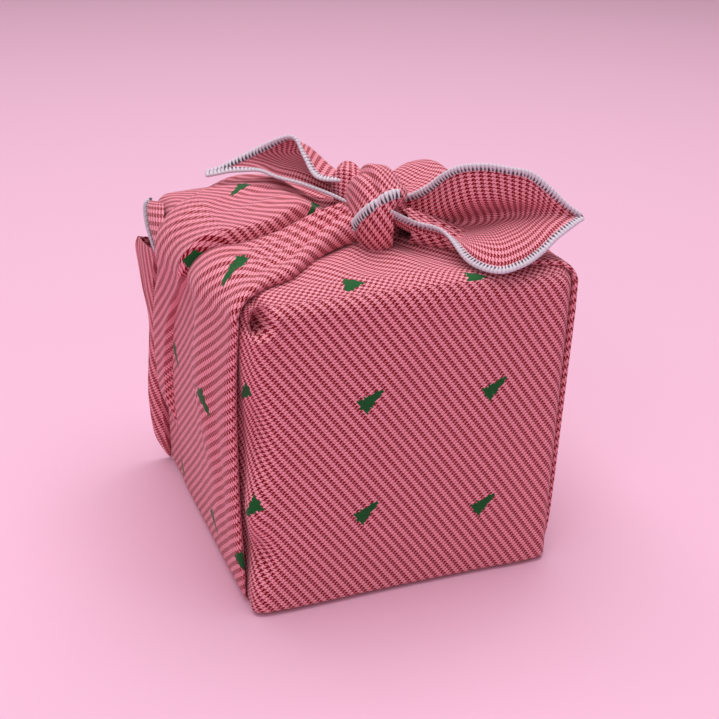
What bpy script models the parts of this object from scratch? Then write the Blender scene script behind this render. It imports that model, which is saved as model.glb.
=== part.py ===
"""A furoshiki: one square of cotton cloth wrapped round a box shape and tied on top.

The wrap stands on its flat base at z = 0, with the front panel towards -Y. The cloth
is one hollow body: the panels, two pairs of tie bands that climb the sides and
gather on top, the knot, and the two ears that open out of it. Lengths are in metres,
and the tables are in millimetres.
"""

import math
from collections import namedtuple

import bmesh
import bpy
import numpy as np

MM = 0.001

# The wrapped shape, in millimetres.
WIDTH, DEPTH, HEIGHT = 124.0, 135.0, 120.0
TAPER = 0.045  # share by which the base is narrower than the top
FRONT_TAPER = 0.012  # the front panel stands nearly upright
CORNER = 7.0  # rounding of the cloth over the edges
FRONT_LEFT_CORNER = 10.0  # the front panel turns more softly into the left groove
BASE_CORNER = 4.6  # rounding of the upright edges at the base
BASE_EDGE = 2.6  # height of the rounding at the base
WALL = 3.0  # from the outer face of the panels to the hollow
TENT = 3.4  # rise of the flaps towards the knot
TENT_REACH = 58.0  # how far from the knot the flaps start to rise
BACK_RISE, BACK_RISE_AT = 4.4, 44.0  # the back flap's soft arch, and where it is along Y
PANEL_CELLS = 14  # cells along each side of a panel
HOLLOW_CELLS = 5
PANEL_EASE = 0.86  # nearer 1, the cells crowd more towards the edges

# The knot.
KNOT = np.array([1.5, -23.0, 134.5])
KNOT_RADII = np.array([10.2, 15.6, 16.2])
REAR_LOBE = np.array([-3.2, -7.0, 138.5])  # the loop's far side, by the left ear's root
REAR_LOBE_RADII = np.array([5.6, 9.0, 9.2])
KNOT_RINGS, KNOT_SPOKES = 18, 30

# The tie bands.
SINK = 1.2  # how deep a band's underside sits in the panel
LAP = 0.3  # how deep its folded edges press into the panel
EDGE_STEPS = 5  # points round a folded edge
EDGE_TURN = math.radians(58)  # how far a folded edge turns under
UNDER_IN = 1.3  # how far in from an edge the underside starts, in that edge's roundings
UNDER_STEPS, LEFT_STEPS, RIGHT_STEPS = (24, 9), (30, 13), (28, 11)  # along a band, and across
EAR_CLOTH, EAR_HEM = 1.5, 2.8  # thickness of an ear, and of its overlocked hem
HEM_WIDTH = 3.6

CLOTH_COLOUR = (0.62, 0.09, 0.13, 1.0)


def smooth_curve(points, count):
    """Points at even steps of a Catmull-Rom curve through the given points."""
    points = np.asarray(points, float)
    padded = np.vstack([2 * points[0] - points[1], points, 2 * points[-1] - points[-2]])
    steps = np.linspace(0, len(points) - 1, count)
    index = np.minimum(steps.astype(int), len(points) - 2)
    t = (steps - index)[:, None]
    a, b, c, d = (padded[index + k] for k in range(4))
    return 0.5 * (
        2 * b + (c - a) * t + (2 * a - 5 * b + 4 * c - d) * t**2 + (3 * b - a - 3 * c + d) * t**3
    )


def bell(distance, width):
    return np.exp(-((distance / width) ** 2))


def half_width(z):
    return WIDTH / 2 * (1 - TAPER * (1 - z / HEIGHT))


def tapered(y, z):
    """Where a point along the depth lies once the wrap narrows towards its base."""
    return y * (1 - (FRONT_TAPER if y < 0 else TAPER) * (1 - max(z, 0) / HEIGHT))


def tent(x, y):
    """Rise of the top, towards the knot and in the back flap's arch."""
    reach = np.hypot(x - KNOT[0], y - KNOT[1]) / TENT_REACH
    arch = BACK_RISE * bell(y - BACK_RISE_AT, 19) * (1 - 0.5 * bell(x + 62, 16))
    return TENT * np.clip(1 - reach, 0, 1) ** 1.3 + arch


def panel_swell(x, y, z):
    """How far the cloth of the panels stands out of a flat face, by its soft folds."""
    high = z / HEIGHT
    if y < -DEPTH / 2 + 1:  # the front
        pull = 0.9 * bell(x + 20 - 0.45 * (z - 60), 9) * high
        ridge = 0.7 * bell(x - 34 + 0.25 * (z - 60), 11)
        dimple = -3.4 * bell(np.hypot(x + 55, (z - 111) * 0.5), 4.0)
        foot = 2.0 * bell(x + 50, 32) * (1 - high) ** 2
        return 0.6 * math.cos(x / 62 * 1.5) + pull + ridge + dimple + foot
    if y > DEPTH / 2 - 1:  # the back
        return 0.8 * bell(x - 18 + 0.4 * (z - 60), 10) * high + 0.6 * bell(x + 30, 12)
    if z > HEIGHT - 1:
        return 0.9 * bell(x + 20 + 0.7 * (y + 50), 8) + 0.7 * bell(x - 34 - 0.5 * (y + 50), 9)
    if x < 0 and z > 1:  # the groove between the left tie and the front panel
        return -1.8 * bell(y + 57, 4.5) * bell(z - 52, 38)
    return 0.0


def finish_mesh(name, collection, made):
    """The object of an edited mesh, in triangles that all face out."""
    bmesh.ops.triangulate(made, faces=made.faces[:])
    bmesh.ops.recalc_face_normals(made, faces=made.faces)
    mesh = bpy.data.meshes.new(name)
    made.to_mesh(mesh)
    made.free()
    mesh.shade_smooth()
    finished = bpy.data.objects.new(name, mesh)
    collection.objects.link(finished)
    return finished


def add_mesh(name, collection, points, faces):
    made = bmesh.new()
    corners = [made.verts.new(point * MM) for point in points]
    for face in faces:
        made.faces.new([corners[index] for index in face])
    return finish_mesh(name, collection, made)


def rounded_box(name, collection, inset, cells):
    """A cube's grid drawn over the wrapped shape, inset from it, with rounded edges."""
    made = bmesh.new()
    bmesh.ops.create_cube(made, size=2)
    bmesh.ops.subdivide_edges(made, edges=made.edges[:], cuts=cells - 1, use_grid_fill=True)
    low = np.array([-WIDTH / 2 + inset, -DEPTH / 2 + inset, inset])
    high = np.array([WIDTH / 2 - inset, DEPTH / 2 - inset, HEIGHT - inset])
    for vertex in made.verts:
        even = np.array(vertex.co)
        eased = np.sin(even * math.pi / 2 * PANEL_EASE) / math.sin(math.pi / 2 * PANEL_EASE)
        on_box = low + (high - low) * (eased + 1) / 2
        upright = FRONT_LEFT_CORNER if even[0] < 0 and even[1] < 0 else CORNER
        plan = upright + (BASE_CORNER - upright) * (1 - even[2]) / 2 - inset
        rounding = np.array([plan, plan, BASE_EDGE if even[2] < 0 else CORNER - inset])
        core = np.clip(on_box, low + rounding, high - rounding)
        out = (on_box - core) / rounding
        out /= max(np.linalg.norm(out), 1e-9)
        at = core + rounding * out
        if not inset:
            at += panel_swell(*on_box) * out * (1, 1, out[2] > 0)
        at[:2] = at[0] * half_width(max(at[2], 0)) / (WIDTH / 2), tapered(at[1], at[2])
        if even[2] > 0:
            at[2] += tent(at[0], at[1]) * max(out[2], 0)
        vertex.co = at * MM
    return finish_mesh(name, collection, made)


# ---- tie bands ----------------------------------------------------------------------
# Each row is a station along a band: climb is the distance along its path, up the side
# from the base and then over the top towards the knot; front and rear are where its two
# folded edges lie along Y; their lifts are how far the cloth stands off the panel there,
# and front round is how far from its edge the front fold reaches its full lift.
Station = namedtuple("Station", "climb front rear front_lift rear_lift front_round")
LEFT_OVER = [
    (2.0, -57.5, 57, 1.8, 1.8, 5.0),
    (14, -60, 60, 3.4, 3.0, 9.0),
    (30, -57, 61, 4.4, 3.8, 13.0),
    (55, -57, 50, 4.6, 4.2, 14.0),
    (78, -58, 33, 4.0, 4.4, 12.0),
    (95, -60, 17, 3.4, 4.6, 8.0),
    (107, -62, 3, 3.2, 4.8, 5.0),
    (116, -65, -7, 3.2, 4.8, 3.0),
    (123.5, -59.5, -13, 3.8, 5.0, 2.4),
    (130, -54.5, -14, 4.4, 5.4, 2.4),
    (139, -50.5, -12, 5.0, 6.2, 2.6),
    (146, -44, -9, 6.0, 7.2, 3.0),
    (153, -38, -6, 7.5, 8.4, 3.6),
    (162, -32, -6, 10.0, 10.0, 4.4),
    (171, -29, -8, 12.0, 12.0, 5.0),
]
LEFT_UNDER = [
    (2.0, 42, 63.5, 2.0, 2.0, 2.0),
    (30, 44, 66.5, 1.8, 3.0, 2.0),
    (60, 35, 66.5, 1.8, 3.2, 2.0),
    (85, 15, 66.0, 1.8, 3.2, 2.0),
    (105, -10, 65.0, 1.8, 3.0, 2.0),
    (118, -20, 62.0, 2.0, 2.2, 2.0),
    (128, -26, 58.0, 2.6, 2.0, 2.0),
    (142, -24, 49.0, 4.0, 3.0, 2.4),
    (156, -18, 37.0, 5.5, 5.0, 3.0),
    (167, -18, 20.0, 7.5, 7.5, 3.6),
    (175, -20, 4.0, 10.0, 10.0, 4.4),
]
RIGHT_OVER = [
    (2.0, -60.5, 52, 1.8, 1.8, 2.4),
    (14, -63.8, 55, 2.2, 2.8, 2.4),
    (30, -64.3, 56, 2.4, 3.4, 2.4),
    (55, -64.8, 48, 2.4, 3.8, 2.4),
    (78, -65.2, 35, 2.4, 4.0, 2.4),
    (95, -65.6, 22, 2.4, 4.2, 2.4),
    (107, -65.8, 10, 2.2, 4.4, 2.4),
    (117, -65.2, 0, 2.0, 4.4, 2.2),
    (126, -62.5, -7, 2.4, 4.8, 2.2),
    (134, -60, -9, 3.0, 5.4, 2.4),
    (146, -51, -9, 5.0, 7.0, 3.0),
    (157, -41, -9, 8.0, 9.0, 4.0),
    (168, -34, -11, 11.0, 11.0, 5.0),
]
RIGHT_UNDER = [
    (2.0, 36, 63.0, 2.0, 2.0, 2.0),
    (30, 40, 65.5, 1.8, 3.0, 2.0),
    (60, 32, 66.0, 1.8, 3.0, 2.0),
    (85, 18, 65.5, 1.8, 3.2, 2.0),
    (105, 0, 64.5, 1.8, 3.6, 2.0),
    (118, -12, 62.0, 2.2, 4.4, 2.0),
    (128, -20, 57.0, 2.8, 4.4, 2.0),
    (142, -20, 44.0, 4.0, 4.4, 2.4),
    (156, -20, 30.0, 5.5, 5.6, 3.0),
    (167, -20, 14.0, 8.0, 8.0, 3.6),
    (174, -22, 2.0, 10.0, 10.0, 4.4),
]
REAR_ROUND = 2.2
PLEATS = 3.2  # pleats across a band where it gathers
PLEAT_DEPTH = 1.2
GATHER_FROM = 112.0  # climb where the pleats begin
GATHER_OVER = 60.0  # how much further they reach their full depth


def over_edge(climb, side):
    """Point and outward direction in XZ, that far along the path over the side's top edge."""
    straight = HEIGHT - CORNER
    turn = (climb - straight) / CORNER
    if climb < straight:
        return np.array([side * half_width(climb), climb]), np.array([side, 0.0])
    if turn < math.pi / 2:
        out = np.array([side * math.cos(turn), math.sin(turn)])
        return np.array([side * (WIDTH / 2 - CORNER), straight]) + CORNER * out, out
    run = climb - straight - CORNER * math.pi / 2
    return np.array([side * (WIDTH / 2 - CORNER - run), HEIGHT]), np.array([0.0, 1.0])


def band_height(across, climb, front_lift, rear_lift):
    """Height of a band's upper face, from edge to edge, with pleats near the knot."""
    gather = np.clip((climb - GATHER_FROM) / GATHER_OVER, 0, 1)
    pleats = PLEAT_DEPTH * gather * np.sin(2 * math.pi * PLEATS * across + 0.8)
    ease = across * across * (3 - 2 * across)
    fade = min(1, 6 * across, 6 * (1 - across))
    return front_lift + (rear_lift - front_lift) * ease + pleats * fade


def band_section(at, across_steps):
    """A station's section as (y, height) pairs: the upper face from edge to edge, then back below."""
    turns = np.linspace(-EDGE_TURN, math.pi / 2, EDGE_STEPS)
    front_edge = [
        (at.front + at.front_round * (1 - math.cos(t)), at.front_lift / 2 * (1 + math.sin(t)) - LAP)
        for t in turns
    ]
    rear_edge = [
        (at.rear - REAR_ROUND * (1 - math.cos(t)), at.rear_lift / 2 * (1 + math.sin(t)) - LAP)
        for t in turns[::-1]
    ]
    top = []
    for across in np.linspace(0, 1, across_steps)[1:-1]:
        y = at.front + at.front_round + (at.rear - at.front - at.front_round - REAR_ROUND) * across
        top.append((y, band_height(across, at.climb, at.front_lift, at.rear_lift) - LAP))
    upper = front_edge + top + rear_edge
    low_front = at.front + UNDER_IN * at.front_round
    low_rear = at.rear - UNDER_IN * REAR_ROUND
    return upper + [(y, -SINK) for y in np.linspace(low_rear, low_front, len(upper))]


def tie_band(name, collection, table, side, stations, across_steps):
    """A closed band between two folded edges, sunk a little into the panels under it."""
    points = []
    for row in smooth_curve(table, stations):
        station = Station(*row)
        base, out = over_edge(station.climb, side)
        for y, height in band_section(station, across_steps):
            x, z = base + out * height
            points.append((x, tapered(y, z), z + tent(x, y) * max(out[1], 0)))
    width = len(points) // stations
    faces = []
    for i in range(stations - 1):
        for j in range(width):
            k = (j + 1) % width
            faces.append((i * width + j, i * width + k, (i + 1) * width + k, (i + 1) * width + j))
    for start in (0, (stations - 1) * width):
        for j in range(width // 2 - 1):
            last = start + width - 1
            faces.append((start + j, start + j + 1, last - j - 1, last - j))
    return add_mesh(name, collection, np.array(points), faces)


# ---- ears ---------------------------------------------------------------------------
# Each row is a section of an ear, from the knot to the tip. Its five columns are the points
# (x, y, z) that the cloth passes: one hem, behind the valley, the valley, before it, and
# the other hem.
RIGHT_EAR = [
    [(7, -20, 139), (8, -19, 135.5), (8, -22, 133.5), (8, -26, 132.5), (8, -27, 135)],
    [(15, -19, 137), (16, -19, 129), (16, -24, 125), (16, -31, 125), (15, -32, 131)],
    [(20, -25, 141.5), (21.5, -25.5, 131.5), (24.5, -27.5, 125), (21.5, -41.5, 127.5), (19, -43.5, 130.5)],
    [(24, -31.5, 148), (26, -33.5, 136), (32, -30.5, 127), (25.5, -53.5, 128), (22, -59, 123.5)],
    [(28.5, -37.5, 152), (31, -39.5, 139.5), (38.5, -34, 129.5), (33, -58, 129), (29, -68.5, 122)],
    [(36, -42, 153), (38, -43, 140.5), (44.5, -38, 132), (40, -59, 130), (38.5, -69, 123.5)],
    [(43.5, -45.5, 152), (46, -46, 140.5), (50.5, -43, 133.5), (48, -58, 131), (47, -66, 126)],
    [(50.5, -48, 150.5), (53, -49, 140.5), (56, -48, 134.5), (54.5, -57.5, 133), (54, -63.5, 130)],
    [(57.3, -50.7, 145.1), (58.6, -51.4, 139.6), (60.7, -51.9, 135.4), (60.1, -58, 134.2), (60.1, -61.3, 132.4)],
    [(62.8, -54.4, 139.3), (63.9, -54.2, 137), (64.8, -54.7, 135.2), (64.8, -56.8, 134.5), (64.8, -59, 133.7)],
    [(67.4, -56.6, 135.9), (67.9, -56.5, 135.3), (68.3, -56.3, 134.8), (68.1, -56.9, 134.5), (67.9, -57.5, 134.3)],
]
LEFT_EAR = [
    [(-4, -19, 134), (-3, -12, 133.5), (-2, -6.5, 136), (-3, -7, 141), (-5, -12, 142)],
    [(-11, -10, 137), (-9, -2.4, 135.2), (-6.5, 3.6, 139), (-7.5, 4, 145), (-14.5, -4, 142)],
    [(-19, 0, 139), (-17, 8, 138), (-13, 14, 143), (-12.5, 12, 150), (-17, 4, 148)],
    [(-26, 7.5, 140), (-25, 15, 139.5), (-20.5, 19, 144), (-17.5, 16.5, 150.5), (-18.5, 11, 154)],
    [(-31, 13, 141.5), (-30, 17.6, 141), (-27.4, 20.4, 143.4), (-25, 19.6, 148), (-23.5, 16, 152.5)],
    [(-35.5, 18, 140.5), (-34.6, 20, 141.2), (-33.2, 21.4, 142.8), (-31.6, 22.1, 145.2), (-30, 22, 148)],
    [(-41, 21, 139.7), (-40.2, 22.2, 140.6), (-39.2, 23.2, 141.7), (-38, 23.9, 143), (-36.6, 24.3, 144.4)],
    [(-46, 23, 138.5), (-45.5, 23.9, 139.1), (-44.9, 24.6, 139.7), (-44.3, 25.2, 140.3), (-43.6, 25.6, 140.9)],
    [(-49.4, 23.6, 138), (-49.2, 24.3, 138.4), (-49, 25, 138.8), (-48.8, 25.7, 139.2), (-48.6, 26.4, 139.6)],
]
EAR_STATIONS = 22
FINE = 52  # even steps across a section, of which an ear's grid takes those at these shares
EAR_SHARES = (0, 0.06, 0.1, *np.linspace(0.16, 0.84, 7), 0.9, 0.94, 1)
EVEN_PASSES = 8
TIP_STATIONS = 4  # stations next to the tip, where the sheet is turned as one


def grid_normals(grid):
    """Outward directions of a sheet, evened out so that its two faces never cross."""
    normals = np.cross(np.gradient(grid, axis=0), np.gradient(grid, axis=1))
    for _ in range(EVEN_PASSES):
        normals /= np.maximum(np.linalg.norm(normals, axis=2, keepdims=True), 1e-9)
        ringed = np.pad(normals, ((1, 1), (1, 1), (0, 0)), "edge")
        normals = ringed[2:, 1:-1] + ringed[:-2, 1:-1] + ringed[1:-1, 2:] + ringed[1:-1, :-2]
    near_tip = np.clip(np.arange(len(grid)) - (len(grid) - TIP_STATIONS), 0, 1)[:, None, None]
    even = normals.mean(axis=1, keepdims=True)
    normals = normals * (1 - near_tip) + even * near_tip
    return normals / np.maximum(np.linalg.norm(normals, axis=2, keepdims=True), 1e-9)


def ear(name, collection, table):
    """A cupped sheet with a thicker rim along its two hems, as one closed mesh."""
    rails = [smooth_curve([row[k] for row in table], EAR_STATIONS) for k in range(len(table[0]))]
    grid = np.array([smooth_curve([rail[i] for rail in rails], FINE) for i in range(EAR_STATIONS)])
    picked = np.round(np.array(EAR_SHARES) * (FINE - 1)).astype(int)
    normals = grid_normals(grid)[:, picked]
    grid = grid[:, picked]
    from_hem = np.minimum(
        np.linalg.norm(grid - grid[:, :1], axis=2), np.linalg.norm(grid - grid[:, -1:], axis=2)
    )
    half = np.where(from_hem < HEM_WIDTH, EAR_HEM, EAR_CLOTH)[..., None] / 2
    upper, under = grid + normals * half, grid - normals * half
    rows, columns = grid.shape[:2]
    points = np.concatenate([upper.reshape(-1, 3), under.reshape(-1, 3)])
    shift = rows * columns
    faces = []
    for i in range(rows - 1):
        for j in range(columns - 1):
            a, b = i * columns + j, i * columns + j + 1
            c, d = b + columns, a + columns
            faces += [(a, b, c, d), (d + shift, c + shift, b + shift, a + shift)]
    rim = list(range(columns))
    rim += [i * columns + columns - 1 for i in range(1, rows)]
    rim += [(rows - 1) * columns + j for j in range(columns - 2, -1, -1)]
    rim += [i * columns for i in range(rows - 2, 0, -1)]
    for here, there in zip(rim, rim[1:] + rim[:1]):
        faces.append((here, here + shift, there + shift, there))
    return add_mesh(name, collection, points, faces)


# ---- knot ---------------------------------------------------------------------------
# The loop of the knot is a plump lobe. A second layer crosses it low in front, and its hem
# runs slantwise up the lobe, from low on the left to the right ear.
HEM_FACING = np.array([0.26, -0.60, -0.76])  # from the hem towards the layer in front
HEM_SHARE = 0.02  # how far the hem's plane lies from the lobe's middle, in its radii
LAYER = 1.3  # step up from the loop, past the hem, to the crossing layer
HEM_STANDS = 0.9  # how far the hem stands out of the crossing layer
WAIST = 1.6  # depth of the crease at the right of the lobe


def knot_swell(x, y, z):
    """Radial height of the knot's folds, for a point on the unit ball."""
    past_hem = HEM_FACING @ (x, y, z) - HEM_SHARE
    crossing = LAYER / (1 + np.exp(-14 * past_hem))
    hem = HEM_STANDS * bell(past_hem, 0.11) * (z > -0.2)
    crease = -WAIST * bell(x - 0.62 - 0.25 * z, 0.16) * (z < 0.35)
    folds = 0.45 * np.sin(9 * x + 4 * z) * (z > 0)
    return crossing + hem + crease + folds


def plain_swell(x, y, z):
    """The soft folds of the loop's far side."""
    return 0.4 * np.sin(7 * x + 5 * y)


def lobe(name, collection, centre, radii, swell, spokes, rings):
    """A plump loop of the knot: a sphere's grid, stretched and folded."""
    made = bmesh.new()
    bmesh.ops.create_uvsphere(made, u_segments=spokes, v_segments=rings, radius=1)
    for vertex in made.verts:
        unit = np.array(vertex.co.normalized())
        vertex.co = (centre + unit * (radii + swell(*unit))) * MM
    return finish_mesh(name, collection, made)


# ---- corner folds -------------------------------------------------------------------
# The fold at the far left corner ends in a point that stands out below the tie's hem.
# Each row is a level of the fold: its outer edge stands off the corner, and its inner edge
# lies on the tie's cloth.
Level = namedtuple("Level", "height outer_x outer_y inner_x inner_y")
POINTED_FOLD = [
    (34, -62.8, 64.0, -61.6, 60.0),
    (50, -64.4, 65.5, -62.6, 61.0),
    (66, -65.2, 66.5, -63.8, 59.0),
    (80, -67.0, 67.0, -64.6, 55.0),
    (91, -68.8, 67.0, -65.2, 50.0),
    (98, -69.8, 66.8, -65.4, 46.5),
    (101.5, -68.6, 66.0, -65.4, 46.0),
]
FOLD_LEVELS = 12
FOLD_BOW = 0.5  # how far the fold's face bows out between its edges
FOLD_DEEP_X = -58.0  # where the fold's inner side lies, within the tie
CORNER_HEM = [(-63.6, 66.0, 115), (-64.6, 62.5, 112), (-65.2, 54, 108.5), (-65.2, 44, 103)]
HEM_ROUND = 1.5
SLIT = (16.0, 9.0, 1.5)  # the gap under the hem, between layers, that leads into the wrap
SLIT_AT = (-64.0, 56.5, 105.5)


def pointed_fold(name, collection):
    points = []
    for row in smooth_curve(POINTED_FOLD, FOLD_LEVELS):
        at = Level(*row)
        outer, inner = (at.outer_x, at.outer_y), (at.inner_x, at.inner_y)
        middle = ((outer[0] + inner[0]) / 2 - FOLD_BOW, (outer[1] + inner[1]) / 2)
        around = (outer, middle, inner, (FOLD_DEEP_X, inner[1] + 1), (FOLD_DEEP_X, outer[1] - 1.5))
        points += [(*place, at.height) for place in around]
    ring, faces = len(around), []
    levels = len(points) // ring
    for i in range(levels - 1):
        for j in range(ring):
            k = (j + 1) % ring
            faces.append((i * ring + j, i * ring + k, (i + 1) * ring + k, (i + 1) * ring + j))
    faces += [tuple(range(ring)), tuple((levels - 1) * ring + j for j in range(ring))]
    return add_mesh(name, collection, np.array(points), faces)


def tube(name, collection, route, radius):
    """A round rim along a route, made a mesh with its caps welded."""
    curve = bpy.data.curves.new(name, "CURVE")
    curve.dimensions = "3D"
    curve.bevel_depth = radius * MM
    curve.bevel_resolution = 2
    curve.use_fill_caps = True
    spline = curve.splines.new("POLY")
    spline.points.add(len(route) - 1)
    for point, at in zip(spline.points, route):
        point.co = (*(np.array(at) * MM), 1)
    guide = bpy.data.objects.new(name, curve)
    collection.objects.link(guide)
    graph = bpy.context.evaluated_depsgraph_get()
    mesh = bpy.data.meshes.new_from_object(guide.evaluated_get(graph))
    bpy.data.objects.remove(guide)
    made = bmesh.new()
    made.from_mesh(mesh)
    bmesh.ops.remove_doubles(made, verts=made.verts, dist=1e-6)
    return finish_mesh(name, collection, made)


def combine(target, others, operation):
    """Joins a collection's solids to the target, or cuts them from it."""
    step = target.modifiers.new(others.name, "BOOLEAN")
    step.operation = operation
    step.solver = "EXACT"
    step.operand_type = "COLLECTION"
    step.collection = others


def cloth_material():
    cloth = bpy.data.materials.new("red_check_cotton")
    cloth.use_nodes = True
    shader = cloth.node_tree.nodes["Principled BSDF"]
    shader.inputs["Base Color"].default_value = CLOTH_COLOUR
    shader.inputs["Roughness"].default_value = 0.9
    shader.inputs["Metallic"].default_value = 0.0
    return cloth


def main():
    for old in list(bpy.data.objects):
        bpy.data.objects.remove(old)
    parts, folds, cutters = (
        bpy.data.collections.new(name) for name in ("furoshiki_wrap", "folds", "cutters")
    )
    for collection in (parts, folds, cutters):
        bpy.context.scene.collection.children.link(collection)

    wrap = rounded_box("furoshiki_wrap", parts, 0.0, PANEL_CELLS)
    tie_band("left_under", folds, LEFT_UNDER, -1, *UNDER_STEPS)
    tie_band("right_under", folds, RIGHT_UNDER, 1, *UNDER_STEPS)
    tie_band("left_over", folds, LEFT_OVER, -1, *LEFT_STEPS)
    tie_band("right_over", folds, RIGHT_OVER, 1, *RIGHT_STEPS)
    lobe("knot", folds, KNOT, KNOT_RADII, knot_swell, KNOT_SPOKES, KNOT_RINGS)
    lobe("rear_lobe", folds, REAR_LOBE, REAR_LOBE_RADII, plain_swell, 16, 10)
    ear("right_ear", folds, RIGHT_EAR)
    ear("left_ear", folds, LEFT_EAR)
    pointed_fold("pointed_fold", folds)
    tube("corner_hem", folds, smooth_curve(CORNER_HEM, 9), HEM_ROUND)
    combine(wrap, folds, "UNION")

    rounded_box("hollow", cutters, WALL, HOLLOW_CELLS)
    slit = bmesh.new()
    bmesh.ops.create_cube(slit, size=MM)
    for vertex in slit.verts:
        vertex.co = np.array(vertex.co) * SLIT + np.array(SLIT_AT) * MM
    finish_mesh("slit", cutters, slit)
    combine(wrap, cutters, "DIFFERENCE")
    for helper in (*folds.objects, *cutters.objects):
        helper.hide_render = True
        helper.display_type = "WIRE"
    wrap.data.materials.append(cloth_material())


main()
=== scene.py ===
"""The finished look of a furoshiki wrap: one square of checked cotton, tied over a box shape.

It stands on z = 0 with its plain front panel towards -Y. Tables and sizes of the cloth are
in millimetres, and MM turns them into metres.
"""

import math

import bmesh
import bpy
import numpy as np
from mathutils import Matrix, Vector


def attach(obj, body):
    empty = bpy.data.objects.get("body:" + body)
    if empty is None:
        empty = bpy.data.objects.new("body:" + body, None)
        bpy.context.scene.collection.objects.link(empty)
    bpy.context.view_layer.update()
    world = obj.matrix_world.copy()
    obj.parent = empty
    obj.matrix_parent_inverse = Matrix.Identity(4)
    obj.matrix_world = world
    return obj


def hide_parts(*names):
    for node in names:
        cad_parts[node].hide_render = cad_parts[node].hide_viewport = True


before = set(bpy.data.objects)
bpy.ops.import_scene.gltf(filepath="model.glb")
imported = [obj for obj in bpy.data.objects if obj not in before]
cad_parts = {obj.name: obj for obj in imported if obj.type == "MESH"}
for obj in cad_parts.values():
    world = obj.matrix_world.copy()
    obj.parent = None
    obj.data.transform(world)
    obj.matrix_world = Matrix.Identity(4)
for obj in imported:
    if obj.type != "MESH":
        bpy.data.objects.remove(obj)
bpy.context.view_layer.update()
MM = 0.001

# ---- Camera, floor and light -----------------------------------------------------------
# A plain pale floor under one large soft light overhead, with a weak one from the front
# left. The camera looks down on the front left edge from half a metre away.
AZIMUTH, ELEVATION, ROLL = (math.radians(angle) for angle in (-21.35, 23.51, 1.15))
AIM, DISTANCE = Vector((0.0053, 0, 0.0645)), 0.5251
back = Vector(
    (
        math.sin(AZIMUTH) * math.cos(ELEVATION),
        -math.cos(AZIMUTH) * math.cos(ELEVATION),
        math.sin(ELEVATION),
    )
)
right = Vector((0, 0, 1)).cross(back).normalized()
up = back.cross(right)
right, up = (
    right * math.cos(ROLL) + up * math.sin(ROLL),
    up * math.cos(ROLL) - right * math.sin(ROLL),
)
camera = bpy.data.objects.new("camera", bpy.data.cameras.new("camera"))
camera.data.lens = 65.69
camera.data.sensor_width = 36
camera.data.clip_start = 0.01
facing = Matrix((right, up, back)).transposed().to_4x4()
camera.matrix_world = Matrix.Translation(AIM + back * DISTANCE) @ facing
bpy.context.scene.collection.objects.link(camera)
bpy.context.scene.camera = camera


def area_light(name, place, size, watts, colour):
    """A square lamp that faces the middle of the wrap."""
    lamp = bpy.data.objects.new(name, bpy.data.lights.new(name, "AREA"))
    lamp.data.size, lamp.data.energy, lamp.data.color = size, watts, colour
    lamp.location = place
    lamp.rotation_euler = (Vector((0, 0, 0.07)) - lamp.location).to_track_quat("-Z", "Y").to_euler()
    bpy.context.scene.collection.objects.link(lamp)


area_light("overhead", (0.05, 0.22, 1.7), 1.7, 30.0, (1, 0.97, 0.98))
area_light("fill", (-0.7, -0.9, 0.8), 0.8, 4.0, (1, 0.95, 0.97))
world = bpy.data.worlds.new("studio")
world.use_nodes = True
world.node_tree.nodes["Background"].inputs["Color"].default_value = (1.0, 0.86, 0.92, 1)
world.node_tree.nodes["Background"].inputs["Strength"].default_value = 0.30
bpy.context.scene.world = world
bpy.context.scene.view_settings.view_transform = "Standard"

floor_edit = bmesh.new()
bmesh.ops.create_grid(floor_edit, x_segments=1, y_segments=1, size=6)
floor_mesh = bpy.data.meshes.new("floor")
floor_edit.to_mesh(floor_mesh)
floor_edit.free()
floor = bpy.data.objects.new("floor", floor_mesh)
bpy.context.scene.collection.objects.link(floor)
paper = bpy.data.materials.new("pale_paper")
paper.use_nodes = True
paper.node_tree.nodes["Principled BSDF"].inputs["Base Color"].default_value = (0.84, 0.50, 0.66, 1)
paper.node_tree.nodes["Principled BSDF"].inputs["Roughness"].default_value = 0.8
floor.data.materials.append(paper)


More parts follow.
